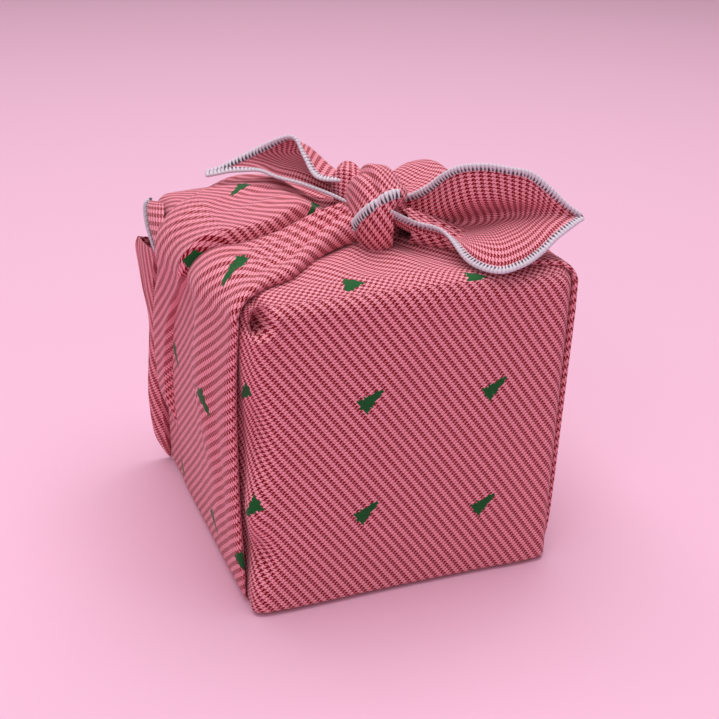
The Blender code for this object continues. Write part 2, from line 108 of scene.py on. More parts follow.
# ---- Cotton ----------------------------------------------------------------------------
# Yarn-dyed cotton in a small houndstooth: four red and four white yarns each way, in a
# two-up two-down twill, with finer yarns one way than the other. Small green fir trees are
# woven in. The yarns run at about 37 degrees to the box shape.
class Socket:
    """A node tree's output, so that shader maths is written as Python arithmetic."""

    def __init__(self, tree, output):
        self.tree, self.output = tree, output

    def node(self, kind, settings=None, **inputs):
        """A new node of this tree. Inputs are Sockets or plain values, by name."""
        made = self.tree.nodes.new(kind)
        for key, value in (settings or {}).items():
            setattr(made, key, value)
        for key, value in inputs.items():
            slot = made.inputs[int(key[1:]) if key[0] == "_" else key.replace("_", " ")]
            if isinstance(value, Socket):
                self.tree.links.new(value.output, slot)
            else:
                slot.default_value = value
        return made

    def math(self, operation, *others):
        values = {f"_{i}": value for i, value in enumerate((self, *others))}
        made = self.node("ShaderNodeMath", {"operation": operation}, **values)
        return Socket(self.tree, made.outputs[0])

    def mix(self, low, high):
        """A colour between low and high, by this factor."""
        made = self.node("ShaderNodeMix", {"data_type": "RGBA"}, Factor=self, _6=low, _7=high)
        return Socket(self.tree, made.outputs[2])

    def __add__(self, other):
        return self.math("ADD", other)

    def __sub__(self, other):
        return self.math("SUBTRACT", other)

    def __rsub__(self, other):
        return self.math("MULTIPLY", -1.0).math("ADD", other)

    def __mul__(self, other):
        return self.math("MULTIPLY", other)

    def __truediv__(self, other):
        return self.math("DIVIDE", other)

    def __mod__(self, other):
        return self.math("FLOORED_MODULO", other)

    def __lt__(self, other):
        return self.math("LESS_THAN", other)

    def __gt__(self, other):
        return self.math("GREATER_THAN", other)

    def __abs__(self):
        return self.math("ABSOLUTE")

    def __or__(self, other):
        return self.math("MAXIMUM", other)

    __radd__, __rmul__ = __add__, __mul__


def new_material(name):
    """(material, its Principled shader, its node tree as a source of sockets)"""
    material = bpy.data.materials.new(name)
    material.use_nodes = True
    shader = material.node_tree.nodes["Principled BSDF"]
    return material, shader, Socket(material.node_tree, None)


def cloth_plane(source, uv_map):
    """The (u, v) place on the flat cloth, in millimetres, that a UV map holds."""
    uv = source.node("ShaderNodeUVMap", {"uv_map": uv_map})
    parts = source.node("ShaderNodeSeparateXYZ", _0=Socket(source.tree, uv.outputs[0]))
    return (Socket(source.tree, parts.outputs[i]) for i in (0, 1))


YARN_TURN = math.radians(37)
END, PICK = 0.375, 0.168  # width of a yarn each way
COLOUR_REPEAT, TWILL_REPEAT = 8.0, 4.0  # in yarns
TREE_STEP = 0.7  # the woven trees' outline goes in steps
TREE_TIERS = [(-4.6, 3.0, 0.44), (-1.5, 4.6, 0.44), (1.6, 6.4, 0.38)]  # bottom, top, slope
TRUNK_BOTTOM, TRUNK_TOP, TRUNK_HALF = -5.6, -4.5, 0.9
RED, WHITE = (0.25, 0.002, 0.010, 1), (0.97, 0.38, 0.47, 1)
DARK_GREEN, LIGHT_GREEN = (0.006, 0.075, 0.018, 1), (0.012, 0.13, 0.03, 1)

cotton, shader, source = new_material("checked_cotton")
along, across = cloth_plane(source, "thread")
end, pick = (along / END).math("FLOOR"), (across / PICK).math("FLOOR")
end_up = ((pick - end) % TWILL_REPEAT) < TWILL_REPEAT / 2
red_end = (end % COLOUR_REPEAT) < COLOUR_REPEAT / 2
red_pick = (pick % COLOUR_REPEAT) < COLOUR_REPEAT / 2
red_share = red_end * end_up + red_pick * (1 - end_up)

tall, wide = cloth_plane(source, "motif")
tall = (tall / TREE_STEP).math("FLOOR") * TREE_STEP
wide = abs((wide / TREE_STEP).math("FLOOR") * TREE_STEP + TREE_STEP / 2)
tree = (wide < TRUNK_HALF) * (tall > TRUNK_BOTTOM) * (tall < TRUNK_TOP)
for bottom, top, slope in TREE_TIERS:
    tree = tree | (wide < (top - tall) * slope) * (tall > bottom)

mottle = source.node("ShaderNodeTexNoise", Scale=90.0, Detail=3.0)
uneven = Socket(source.tree, mottle.outputs[0])
colour = tree.mix(red_share.mix(WHITE, RED), uneven.mix(DARK_GREEN, LIGHT_GREEN))
source.tree.links.new(colour.output, shader.inputs["Base Color"])
source.tree.links.new((0.78 + uneven * 0.16).output, shader.inputs["Roughness"])
shader.inputs["Sheen Weight"].default_value = 0.22
shader.inputs["Sheen Roughness"].default_value = 0.4
shader.inputs["Sheen Tint"].default_value = (1.0, 0.75, 0.80, 1)
shader.inputs["Specular IOR Level"].default_value = 0.2

end_round = 1 - abs((along / END).math("FRACT") * 2.0 - 1.0).math("POWER", 2.0)
pick_round = 1 - abs((across / PICK).math("FRACT") * 2.0 - 1.0).math("POWER", 2.0)
yarns = end_round * end_up + pick_round * (1 - end_up)
bump = source.node("ShaderNodeBump", Strength=0.35, Distance=0.0001, Height=yarns)
source.tree.links.new(bump.outputs[0], shader.inputs["Normal"])


# ---- Panels ----------------------------------------------------------------------------
# The cloth over the box shape: base, front, back, the two sides under the ties, and on top
# the front and back flaps. It is pulled smooth, with soft folds towards the knot, and has
# a small pocket where the front panel tucks behind the left tie.
WIDTH, DEPTH, HEIGHT = 124.0, 135.0, 120.0
TAPER, FRONT_TAPER = 0.045, 0.012
CORNER, FRONT_LEFT_CORNER, BASE_CORNER, BASE_EDGE = 7.0, 10.0, 4.6, 2.6
TENT, TENT_REACH, BACK_RISE, BACK_RISE_AT = 3.4, 58.0, 5.6, 46.0
KNOT, KNOT_RADII = np.array([1.5, -23.0, 134.5]), np.array([10.2, 15.6, 16.2])
PANEL_CELLS, PANEL_EASE, EDGE_FADE = 84, 0.86, 6
POCKET_ACROSS, POCKET_HEIGHT, LIP_RADIUS = -57.0, 111.5, 7.0
POCKET_PUSH, LIP_PUSH = (2.0, 13.0, -3.5), (-0.2, -1.9, 0.4)
HOLLOW_PUSH, LOBE_PUSH = (2.4, 7.5, 0), (-1.6, -1.4, 0)
FRONT_CLOTH_TO = -46  # how far back the front panel's cloth goes on round a side face
FAR_FROM_TREES = 40.0  # the plane of the trees is empty there


def bell(distance, width):
    """1 at no distance, less than 0.02 from two widths on."""
    return np.exp(-((distance / width) ** 2))


def ease(x, low, high):
    """0 below low, 1 above high, smooth between."""
    t = np.clip((x - low) / (high - low), 0, 1)
    return t * t * (3 - 2 * t)


def yarn_places(flat):
    """Places along the ends and picks of (u, v) places on the flat cloth."""
    u, v, angle = flat[..., 0], flat[..., 1], YARN_TURN
    along, across = u * math.cos(angle) - v * math.sin(angle), u * math.sin(angle) + v * math.cos(angle)
    return np.stack([along, across], axis=-1)


class Sheet:
    """The one piece of cloth: grids of points, each with its place on the flat cloth."""

    def __init__(self):
        self.points, self.faces, self.thread, self.motif = [], [], [], []

    def grid(self, points, thread, flat=None, trees=()):
        """Adds a grid. Its rows and columns turn so that the outer side is the front.

        thread holds places along the yarns, flat holds (u, v) places, and trees lists the
        (u, v, turn) of the trees near them.
        """
        rows, columns = points.shape[:2]
        start = sum(len(part) for part in self.points)
        at = np.arange(rows * columns).reshape(rows, columns)
        faces = np.stack([at[:-1, :-1], at[1:, :-1], at[1:, 1:], at[:-1, 1:]], axis=-1).reshape(-1, 4)
        motif = np.full((len(faces), 4, 2), FAR_FROM_TREES)
        if len(trees):
            corners = flat.reshape(-1, 2)[faces]
            trees = np.asarray(trees, float)
            away = corners.mean(axis=1)[:, None] - trees[None, :, :2]
            nearest = trees[np.argmin((away**2).sum(axis=-1), axis=1)]
            offset = corners - nearest[:, None, :2]
            heading = np.radians(nearest[:, 2:3]) - YARN_TURN
            tall = offset[..., 0] * np.cos(heading) + offset[..., 1] * np.sin(heading)
            wide = offset[..., 1] * np.cos(heading) - offset[..., 0] * np.sin(heading)
            motif = np.stack([tall, wide], axis=-1)
        self.points.append(points.reshape(-1, 3))
        self.faces.append(start + faces)
        self.thread.append(thread.reshape(-1, 2)[faces].reshape(-1, 2))
        self.motif.append(motif.reshape(-1, 2))

    def build(self, name, material):
        """The mesh, welded where grids meet."""
        mesh = bpy.data.meshes.new(name)
        points, faces = np.concatenate(self.points), np.concatenate(self.faces)
        mesh.from_pydata((points * MM).tolist(), [], faces.tolist())
        for layer, places in (("thread", self.thread), ("motif", self.motif)):
            uv = mesh.uv_layers.new(name=layer)
            uv.uv.foreach_set("vector", np.concatenate(places).reshape(-1))
        edit = bmesh.new()
        edit.from_mesh(mesh)
        bmesh.ops.remove_doubles(edit, verts=edit.verts, dist=1e-7)
        edit.to_mesh(mesh)
        edit.free()
        mesh.shade_smooth()
        mesh.materials.append(material)
        made = bpy.data.objects.new(name, mesh)
        bpy.context.scene.collection.objects.link(made)
        return made


cloth = Sheet()


def half_width(z):
    """Half the width of the box shape, which grows a little towards the top."""
    return WIDTH / 2 * (1 - TAPER * (1 - np.maximum(z, 0) / HEIGHT))


def tapered(y, z):
    """A Y of the box shape's top, brought in as far as its front and back are at height z."""
    return y * (1 - np.where(y < 0, FRONT_TAPER, TAPER) * (1 - np.maximum(z, 0) / HEIGHT))


def tent(x, y):
    """Rise of the top, towards the knot and in the back flap's arch."""
    reach = np.hypot(x - KNOT[0], y - KNOT[1]) / TENT_REACH
    arch = BACK_RISE * bell(y - BACK_RISE_AT, 19) * (1 - 0.5 * bell(x + 62, 16))
    return TENT * np.clip(1 - reach, 0, 1) ** 1.3 + arch


def front_swell(x, z):
    """How far the front stands out: its crown, two soft folds and a fuller foot at the left."""
    high = z / HEIGHT
    pull = 0.9 * bell(x + 20 - 0.45 * (z - 60), 9) * high
    ridge = 0.7 * bell(x - 34 + 0.25 * (z - 60), 11)
    foot = 2.0 * bell(x + 50, 32) * (1 - high) ** 2
    return 0.6 * np.cos(x / 62 * 1.5) + pull + ridge + foot


def dents(at):
    """Shifts at the front left edge: the pocket with its lip, and two hollows with a lobe between."""
    x, y, z = np.moveaxis(at, -1, 0)
    below, beside = z - POCKET_HEIGHT, x - POCKET_ACROSS
    pocket = bell(below, np.where(below < 0, 2.4, 7.4)) * bell(beside, np.where(beside < 0, 4.5, 3.4))
    rim = np.hypot(below - 2.0, beside * 1.1) - LIP_RADIUS
    lip = bell(rim, 2.2) * ease(beside - below, -3, 5)
    hollows = bell(x + 60.5, 5) * (bell(z - 70, 17) + bell(z - 24, 8))
    lobe = bell(x + 62, 6) * bell(z - 43, 8)
    shift = np.zeros_like(at)
    for share, reach, push in (
        (pocket, 12, POCKET_PUSH),
        (lip, 8, LIP_PUSH),
        (hollows, 11, HOLLOW_PUSH),
        (lobe, 11, LOBE_PUSH),
    ):
        shift += (share * bell(y + DEPTH / 2, reach))[..., None] * np.array(push)
    return shift


def back_swell(x, z):
    """How far the back stands out: two soft folds."""
    return 0.8 * bell(x - 18 + 0.4 * (z - 60), 10) * z / HEIGHT + 0.6 * bell(x + 30, 12)


def top_swell(x, y):
    """Soft folds that fan out from under the knot."""
    around = np.arctan2(x - KNOT[0], np.abs(y - KNOT[1]) + 4)
    near = bell(np.hypot(x - KNOT[0], y - KNOT[1]) - 20, 22)
    fan = 0.8 * np.sin(7.0 * around + 1.0) * near * (y < KNOT[1] + 8)
    return 0.9 * bell(x + 20 + 0.7 * (y + 50), 8) + 0.7 * bell(x - 34 - 0.5 * (y + 50), 9) + fan


def left_swell(y, z):
    """How far the left side sinks in behind the tie's front crease."""
    return -1.8 * bell(y + 57, 4.5) * bell(z - 52, 38)


def on_wrap(even):
    """(places, where they would lie on the sharp-edged box) of points of a cube from -1 to 1."""
    low, high = np.array([-WIDTH / 2, -DEPTH / 2, 0]), np.array([WIDTH / 2, DEPTH / 2, HEIGHT])
    eased = np.sin(even * math.pi / 2 * PANEL_EASE) / math.sin(math.pi / 2 * PANEL_EASE)
    on_box = low + (high - low) * (eased + 1) / 2
    upright = np.where((even[..., 0] < 0) & (even[..., 1] < 0), FRONT_LEFT_CORNER, CORNER)
    plan = upright + (BASE_CORNER - upright) * (1 - even[..., 2]) / 2
    rounding = np.stack([plan, plan, np.where(even[..., 2] < 0, BASE_EDGE, CORNER)], axis=-1)
    core = np.clip(on_box, low + rounding, high - rounding)
    out = (on_box - core) / rounding
    out /= np.maximum(np.linalg.norm(out, axis=-1, keepdims=True), 1e-9)
    x, y, z = np.moveaxis(on_box, -1, 0)
    swell = front_swell(x, z) * ease(-y, DEPTH / 2 - EDGE_FADE, DEPTH / 2)
    swell += back_swell(x, z) * ease(y, DEPTH / 2 - EDGE_FADE, DEPTH / 2)
    swell += top_swell(x, y) * ease(z, HEIGHT - EDGE_FADE, HEIGHT)
    swell += left_swell(y, z) * ease(-x, WIDTH / 2 - EDGE_FADE, WIDTH / 2)
    swell_ways = np.stack([np.ones_like(x), np.ones_like(x), out[..., 2] > 0], axis=-1)
    at = core + rounding * out + swell[..., None] * out * swell_ways + dents(on_box)
    z = at[..., 2].copy()
    at[..., 0] *= half_width(z) / (WIDTH / 2)
    at[..., 1] = tapered(at[..., 1], z)
    rise = tent(at[..., 0], at[..., 1]) * np.maximum(out[..., 2], 0)
    at[..., 2] += np.where(even[..., 2] > 0, rise, 0)
    return at, on_box


# Places on a cube's face, and the face's own side of the cube.
steps = np.linspace(-1, 1, PANEL_CELLS + 1)
one, two = np.meshgrid(steps, steps, indexing="ij")
full = np.ones_like(one)


def panel(even, flat, trees=()):
    """One face of the wrapped box. flat turns its box place into a place on the flat cloth."""
    at, on_box = on_wrap(np.stack(even, axis=-1))
    places = np.stack(flat(*np.moveaxis(on_box, -1, 0)), axis=-1)
    cloth.grid(at, yarn_places(places), places, trees)


def flap_skew(y):
    """How far the pull towards the knot shifts the front flap's cloth sideways."""
    return 8.0 * ease(y, -DEPTH / 2 - 4, -DEPTH / 2 + 14)


def side_place(x, y, z):
    """Near its front edge a side face shows the front panel's cloth, which goes on round."""
    turned_in = y < FRONT_CLOTH_TO
    u = np.where(turned_in, WIDTH / 2 + DEPTH / 2 + y, WIDTH / 2 + z)
    return np.sign(x) * u, np.where(turned_in, -(DEPTH / 2 + z), y)


FRONT_TREES = [
    (-17.9, -103.4, 0),
    (30.5, -98.1, 0),
    (-61.7, -111.8, 180),
    (-17.1, -147.8, 0),
    (31.3, -145.8, 0),
    (-66.6, -153.4, 180),
    (-80, -86, 0),
]
TOP_TREES = [(-16.4, -194.8, 180), (23.5, -189.3, 180), (-12, -244, 0), (34, -236, 0), (14, -284, 180)]
BACK_TREES = [
    (-38, 84, 0),
    (8, 90, 180),
    (52, 96, 0),
    (-34, 130, 180),
    (12, 136, 0),
    (55, 142, 180),
    (-30, 176, 0),
    (16, 182, 180),
]
RIGHT_SIDE_TREES = [(92, 24, 0), (88, -22, 180), (138, 18, 180), (134, -28, 0)]
BASE_TREES = [(-38, -34, 180), (8, -28, 0), (-34, 12, 0), (12, 18, 180)]
panel((two, one, -full), lambda x, y, z: (x, y), BASE_TREES)
panel((one, -full, two), lambda x, y, z: (x, -(DEPTH / 2 + z)), FRONT_TREES)
panel((two, full, one), lambda x, y, z: (x, DEPTH / 2 + z), BACK_TREES)
panel((-full, two, one), side_place, FRONT_TREES)
panel((full, one, two), side_place, RIGHT_SIDE_TREES)
panel(
    (one, two, full),
    lambda x, y, z: (x + flap_skew(y), -(DEPTH / 2 + HEIGHT + y + DEPTH / 2)),
    TOP_TREES,
)

# Inside each side face the cloth lies folded a second time, where the front and back
# panels turn in behind the tie.
GUSSET_IN, GUSSET_REACH, GUSSET_CELLS = 1.2, 0.96, 24
steps = np.linspace(-GUSSET_REACH, GUSSET_REACH, GUSSET_CELLS + 1)
one, two = np.meshgrid(steps, steps, indexing="ij")
full = np.ones_like(one)
for side in (-1, 1):
    gusset, on_box = on_wrap(side * np.stack([full, two, one], axis=-1))
    gusset[..., 0] -= side * GUSSET_IN
    cloth.grid(gusset, yarn_places(np.stack([on_box[..., 2], on_box[..., 1]], axis=-1)))

# ---- Ties ------------------------------------------------------------------------------
# The left and right corners of the cloth, pulled up the side faces and over the top to the
# knot, each as two bands, one over the other. A band's row holds how far it has climbed,
# the Y of its front and rear edge, its lift at each, and the radius of its front crease.
LEFT_OVER = [
    (0, -57.5, 40, 0.3, 0.3, 5.0),
    (6, -58.6, 38, 2.4, 1.6, 7.0),
    (14, -60, 36, 3.6, 2.2, 7.5),
    (30, -59, 36, 4.8, 2.6, 8.0),
    (43, -58.5, 39, 5.0, 2.8, 8.0),
    (58, -58.5, 36, 5.0, 3.0, 8.0),
    (78, -59, 27, 4.6, 3.4, 7.0),
    (95, -61, 11.5, 4.0, 3.8, 6.0),
    (107, -63, -6, 3.4, 4.6, 4.4),
    (113, -64, -13, 3.2, 5.6, 3.4),
    (118, -63, -17.5, 3.4, 5.8, 3.0),
    (124, -59.5, -22.0, 3.8, 6.4, 2.4),
    (130, -54.5, -22.5, 4.4, 7.0, 2.4),
    (139, -50.5, -19.5, 5.0, 7.6, 2.6),
    (146, -44, -16.5, 6.0, 8.2, 3.0),
    (153, -38, -13.0, 7.5, 9.2, 3.6),
    (162, -32, -11, 10.0, 11.2, 4.4),
    (171, -29, -10, 12.0, 12.6, 5.0),
]
LEFT_UNDER = [
    (22, 40, 52.0, -0.4, -0.4, 2.0),
    (27, 31, 56.0, 0.6, 1.0, 2.0),
    (36, 28, 60.0, 1.2, 1.8, 2.0),
    (50, 28, 61.0, 1.2, 2.0, 2.0),
    (64, 22, 60.0, 1.2, 2.0, 2.0),
    (80, 10, 54.0, 1.2, 2.0, 2.0),
    (95, -6, 43.0, 1.2, 2.0, 2.0),
    (107, -20, 32.0, 1.2, 2.0, 2.0),
    (118, -36, 27.0, 1.2, 2.0, 2.0),
    (128, -40, 34.0, 1.6, 2.6, 2.0),
    (142, -36, 41.0, 2.4, 3.4, 2.4),
    (156, -28, 36.0, 4.6, 5.0, 3.0),
    (167, -22, 20.0, 6.0, 8.0, 3.6),
    (175, -20, 4.0, 8.0, 10.0, 4.4),
]
RIGHT_OVER = [
    (0, -60.5, 52, 0.3, 0.3, 2.4),
    (6, -62.2, 53.4, 1.8, 1.8, 2.4),
    (14, -63.8, 55, 2.2, 2.8, 2.4),
    (30, -64.3, 56, 2.4, 3.4, 2.4),
    (55, -64.8, 48, 2.4, 3.8, 2.4),
    (78, -65.2, 35, 2.4, 4.0, 2.4),
    (95, -65.6, 22, 2.4, 4.2, 2.4),
    (107, -65.8, 10, 2.2, 4.4, 2.4),
    (117, -65.2, 0, 2.0, 4.4, 2.2),
    (126, -62.5, -7, 2.4, 4.8, 2.2),
    (134, -60, -9, 3.0, 5.4, 2.4),
    (146, -51, -9, 5.0, 7.0, 3.0),
    (157, -41, -9, 8.0, 9.0, 4.0),
    (168, -34, -11, 11.0, 11.0, 5.0),
]
RIGHT_UNDER = [
    (0, 36, 62.5, 0.3, 0.3, 2.0),
    (8, 37, 63.6, 1.8, 1.8, 2.0),
    (30, 40, 65.5, 1.8, 3.0, 2.0),
    (60, 32, 66.0, 1.8, 3.0, 2.0),
    (85, 18, 65.5, 1.8, 3.2, 2.0),
    (105, 0, 64.5, 1.8, 3.6, 2.0),
    (118, -12, 62.0, 2.2, 4.4, 2.0),
    (128, -20, 57.0, 2.8, 4.4, 2.0),
    (142, -20, 44.0, 4.0, 4.4, 2.4),
    (156, -20, 30.0, 5.5, 5.6, 3.0),
    (167, -20, 14.0, 8.0, 8.0, 3.6),
    (174, -22, 2.0, 10.0, 10.0, 4.4),
]
LEFT_TREES = [
    (-128.0, 25.4, 0),
    (-137.1, -39.0, 0),
    (-74.6, 31.1, 0),
    (-80.6, -27.5, 0),
    (-184.8, -45.1, 0),
    (-80.2, -60.6, 0),
]
LEFT_UNDER_TREES = [(-177.0, -14.9, 0), (-201.4, 25.5, 0), (-223.5, -14.4, 0)]
RIGHT_TREES = [(96, -38, 0), (92, 8, 180), (140, -30, 180), (136, 14, 0), (182, -40, 0)]
LAP, FLOOR_GAP = 0.3, 0.05  # how far a band lies in the cloth under it, and above the floor
BULGE, BULGE_ON_TOP, BULGE_BEYOND, OVERHANG = 4.6, 6.0, 2.6, 4.6  # of a band behind another
RIDGE, RIDGE_AT, VALLEY, VALLEY_AT = 5.2, -33, 1.3, -46
PLEATS, PLEAT_DEPTH, FINE_PLEATS, FINE_DEPTH = 3.2, 1.2, 9, 0.35
GATHER_FROM, GATHER_OVER, GATHERED = 112.0, 60.0, 118.0
BAND_STATIONS, BAND_ACROSS, ROLL_STEPS = 120, 44, 9
EVEN_SHARES, CROWDED_SHARES = (0, 0.05, 0.6, 1), (0, 0.14, 0.42, 1)


def smooth_curve(points, count):
    """Points at even steps of a Catmull-Rom curve through the given points."""
    points = np.asarray(points, float)
    padded = np.concatenate([2 * points[:1] - points[1:2], points, 2 * points[-1:] - points[-2:-1]])
    steps = np.linspace(0, len(points) - 1, count)
    index = np.minimum(steps.astype(int), len(points) - 2)
    t = (steps - index).reshape(-1, *[1] * (points.ndim - 1))
    a, b, c, d = (padded[index + k] for k in range(4))
    return 0.5 * (
        2 * b + (c - a) * t + (2 * a - 5 * b + 4 * c - d) * t**2 + (3 * b - a - 3 * c + d) * t**3
    )


def over_edge(climb, side):
    """Points and outward directions in XZ, at those distances along the path over the edge."""
    climb = np.asarray(climb, float)
    low = np.clip((BASE_EDGE - climb) / BASE_EDGE, 0, 1) * math.pi / 2
    straight = HEIGHT - CORNER
    turn = np.clip((climb - straight) / CORNER, 0, math.pi / 2)
    run = np.maximum(climb - straight - CORNER * math.pi / 2, 0)
    x_up = half_width(np.minimum(climb, HEIGHT)) - BASE_EDGE * (1 - np.cos(low))
    x_over = WIDTH / 2 - CORNER * (1 - np.cos(turn)) - run
    z_foot = BASE_EDGE * (1 - np.sin(low))
    z_up = np.minimum(climb, straight) + CORNER * np.sin(turn)
    x, z = np.where(climb < straight, x_up, x_over), np.where(climb < BASE_EDGE, z_foot, z_up)
    out = np.stack([side * np.cos(turn) * np.cos(low), np.sin(turn) - np.sin(low)], axis=-1)
    return np.stack([side * x, z], axis=-1), out


def band_relief(across, climb, y, side):
    """Pleats towards the knot, and the soft folds of the side face."""
    gather = np.clip((climb - GATHER_FROM) / GATHER_OVER, 0, 1)
    pleats = PLEAT_DEPTH * gather * np.sin(2 * math.pi * PLEATS * across + 0.8)
    fine = FINE_DEPTH * gather * np.sin(2 * math.pi * FINE_PLEATS * across + 0.03 * climb)
    fade = np.minimum(1, 6 * np.minimum(across, 1 - across))
    slack = 0.5 * bell(y + 25 - 0.2 * climb, 7) * bell(climb - 60, 40)
    relief = (pleats + fine) * fade
    if side < 0:
        away = y - RIDGE_AT
        ridge = RIDGE * bell(away, np.where(away < 0, 15, 11)) * bell(climb - 84, 32)
        valley = VALLEY * bell(y - VALLEY_AT, 4.5) * bell(climb - 58, 34)
        relief = relief + (ridge - valley)
    return relief + slack


def plump(y, rear, climb, over):
    """Rise, and forward lean, of a band that comes out from behind the rear edge of another."""
    behind = y - np.interp(climb, [row[0] for row in over], [row[2] for row in over])
    top = ease(climb, 100, 128)
    rise = (BULGE + BULGE_ON_TOP * top) * ease(behind, -0.6, 2.4)
    rise = rise + BULGE_BEYOND * (1 - 0.5 * top) * ease(behind, 3, 26)
    lean = OVERHANG * (0.4 + 0.6 * top) * bell(behind - 2.4, 2.6)
    fade = ease(rear - y, -4, 16) * ease(climb, 22, 46) * ease(172 - climb, 0, 20)
    return rise * fade, lean * fade


def tie_band(table, side, trees, rear_round=2.2, over=None):
    """One band: the upper layer and its two rolled creases, which turn under at its edges.

    A band that comes out from under another, over, rises in a plump curve behind it.
    """
    rows = smooth_curve(table, BAND_STATIONS)
    climb, front, rear, front_lift, rear_lift, front_round = (rows[:, k, None] for k in range(6))
    turns = np.linspace(-math.pi / 2, math.pi / 2, ROLL_STEPS)[None]
    across = np.linspace(0, 1, BAND_ACROSS)[None]
    if over is not None:
        # More of the columns lie where the band rises.
        across = np.interp(across, EVEN_SHARES, CROWDED_SHARES)
    y_top = front + front_round + (rear - front - front_round - rear_round) * across
    height = front_lift + (rear_lift - front_lift) * ease(across, 0, 1)
    if over is not None:
        rise, lean = plump(y_top, rear, climb, over)
        height, y_top = height + rise, y_top - lean
    height = height + band_relief(across, climb, y_top, side)
    front_y = front + front_round * (1 - np.cos(turns[:, :-1]))
    rear_y = rear - rear_round * (1 - np.cos(turns[:, :0:-1]))
    front_high = height[:, :1] / 2 * (1 + np.sin(turns[:, :-1]))
    rear_high = height[:, -1:] / 2 * (1 + np.sin(turns[:, :0:-1]))
    y = np.concatenate([front_y, y_top, rear_y], axis=1)
    high = np.concatenate([front_high, height, rear_high], axis=1) - LAP
    climbs = np.broadcast_to(climb, y.shape)
    base, out = over_edge(climbs, side)
    x, z = base[..., 0] + out[..., 0] * high, base[..., 1] + out[..., 1] * high
    z = np.maximum(z + tent(x, y) * np.maximum(out[..., 1], 0), FLOOR_GAP)
    points = np.stack([x, tapered(y, z), z], axis=-1)
    # The width of cloth is counted along the section from the end of the front crease.
    steps = np.linalg.norm(np.diff(points, axis=1), axis=-1)
    width = np.cumsum(np.concatenate([np.zeros_like(front), steps], axis=1), axis=1)
    drift = np.where(climb > GATHERED, front - np.interp(GATHERED, rows[:, 0], rows[:, 1]), 0)
    across_cloth = width - width[:, ROLL_STEPS - 1, None] + front + front_round - drift
    flat = np.stack([side * (WIDTH / 2 + climbs), across_cloth], axis=-1)
    thread = yarn_places(flat)
    if side < 0:
        points, thread, flat = (grid[::-1] for grid in (points, thread, flat))
    cloth.grid(points, thread, flat, trees)


tie_band(LEFT_OVER, -1, LEFT_TREES, 3.4)
tie_band(LEFT_UNDER, -1, LEFT_UNDER_TREES, 2.2, LEFT_OVER)
tie_band(RIGHT_OVER, 1, RIGHT_TREES)
tie_band(RIGHT_UNDER, 1, RIGHT_TREES)

# ---- Corner folds ----------------------------------------------------------------------
# Cloth left over at the back left edge: a pointed fold that stands off the edge like a
# lapel, and above it a turn of the cloth whose hem shows. A row of the fold holds its
# height and the X and Y of its outer and of its inner edge.
FOLD_STATIONS, FOLD_ACROSS, INSIDE_X = 40, 40, -59
POINTED_FOLD = [
    (1.5, -59.6, 62.6, -59.2, 60.0),
    (5, -62.6, 63.8, -60.2, 60.0),
    (12, -65.4, 64.6, -61.2, 60.0),
    (22, -66.6, 65.2, -61.8, 60.2),
    (34, -67.0, 65.6, -62.4, 60.5),
    (50, -66.0, 66.0, -62.8, 60.8),
    (66, -65.2, 66.5, -63.8, 59.0),
    (80, -67.0, 67.0, -64.6, 55.0),
    (91, -68.2, 67.0, -65.2, 50.0),
    (99, -69.0, 66.8, -65.4, 46.5),
    (103, -68.0, 66.0, -65.4, 46.0),
]
rows = smooth_curve(POINTED_FOLD, FOLD_STATIONS)
z, outer_x, outer_y, inner_x, inner_y = (rows[:, k] for k in range(5))
inside = np.full_like(z, INSIDE_X)
rails = [
    (inside, inner_y + 2, z - 1),
    (inner_x - 0.4, inner_y + 0.3, z - 0.4),
    (inner_x - 0.6, inner_y + 0.9, z),
    ((2 * inner_x + outer_x) / 3 - 0.9, (2 * inner_y + outer_y) / 3, z),
    ((inner_x + 2 * outer_x) / 3 - 0.7, (inner_y + 2 * outer_y) / 3, z),
    (outer_x + 0.3, outer_y - 0.6, z),
    (outer_x, outer_y, z),
    (outer_x + 0.6, outer_y + 0.5, z - 0.4),
    (inside, outer_y - 1, z - 1),
]
fold = smooth_curve([np.stack(rail, axis=-1) for rail in rails], FOLD_ACROSS)
fold = np.swapaxes(fold, 0, 1)
steps = np.linalg.norm(np.diff(fold, axis=1, prepend=fold[:, :1]), axis=-1)
width = np.cumsum(steps, axis=1)
flat = np.stack([width + 0.3 * z[:, None], np.broadcast_to(z[:, None], width.shape)], axis=-1)
cloth.grid(fold[::-1], yarn_places(flat)[::-1])

CORNER_HEM = [
    (-62.8, 66.5, 118),
    (-65.2, 64.5, 116),
    (-66.8, 55, 112),
    (-67.0, 43, 107),
    (-66.6, 34, 103.5),
]
CORNER_ROOT = [
    (-60.5, 50.0, 121.4),
    (-62.0, 42, 121.2),
    (-64.6, 32, 117.5),
    (-66.0, 27, 111),
    (-66.0, 26, 105),
]
CORNER_STATIONS, CORNER_ACROSS, CORNER_LONG, CORNER_WIDE, CORNER_SWELL = 40, 12, 26, 11, 0.8
from_hem = np.linspace(0, 1, CORNER_ACROSS)[None, :, None]
corner_turn = smooth_curve(CORNER_HEM, CORNER_STATIONS)[:, None] * (1 - from_hem)
corner_turn = corner_turn + smooth_curve(CORNER_ROOT, CORNER_STATIONS)[:, None] * from_hem
corner_turn[..., 0] -= CORNER_SWELL * np.sin(math.pi * from_hem[..., 0])
length = np.linspace(0, CORNER_LONG, CORNER_STATIONS)[:, None]
flat = np.stack(np.broadcast_arrays(length, from_hem[..., 0] * CORNER_WIDE), axis=-1)
cloth.grid(corner_turn, flat)

